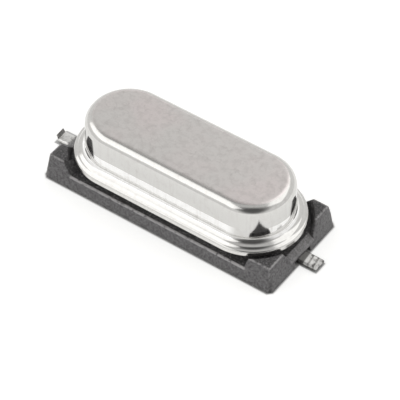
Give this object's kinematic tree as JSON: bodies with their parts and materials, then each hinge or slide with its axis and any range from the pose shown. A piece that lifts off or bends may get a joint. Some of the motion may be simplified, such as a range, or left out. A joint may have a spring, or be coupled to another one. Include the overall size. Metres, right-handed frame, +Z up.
{
  "type": "quartz crystal unit",
  "caption": "Surface-mount quartz crystal oscillator: a low oval metal can with a welded flange on a dark moulded plastic base, with flattened leads at both ends.",
  "frame": {"origin": "point of the plastic base's underside midway between the two wires, where the part stands on a circuit board", "axes": "+X along the length, from one lead to the other; +Y across the width; +Z up, out of the board and through the can's flat top"},
  "size_m": [0.0132, 0.0048, 0.0032],
  "materials": {
    "can_metal": "bright nickel-plated drawn metal with a satin top",
    "header_metal": "plated steel",
    "base_plastic": "matte dark grey moulded plastic",
    "lead_metal": "tinned wire pressed flat",
    "seal_glass": "dark sealing glass",
    "clip_metal": "bare spring metal",
    "quartz": "lapped quartz",
    "silver_film": "evaporated silver film",
    "cement": "silver-filled cement"
  },
  "bodies": {
    "root": {"plastic_base": "base_plastic", "metal_can": "can_metal", "header": "header_metal", "glass_seal_left": "seal_glass", "glass_seal_right": "seal_glass", "lead_left": "lead_metal", "lead_right": "lead_metal", "clip_left": "clip_metal", "clip_right": "clip_metal", "quartz_strip": "quartz", "top_electrode": "silver_film", "bottom_electrode": "silver_film", "cement_dot_left": "cement", "cement_dot_right": "cement"}
  },
  "joints": []
}
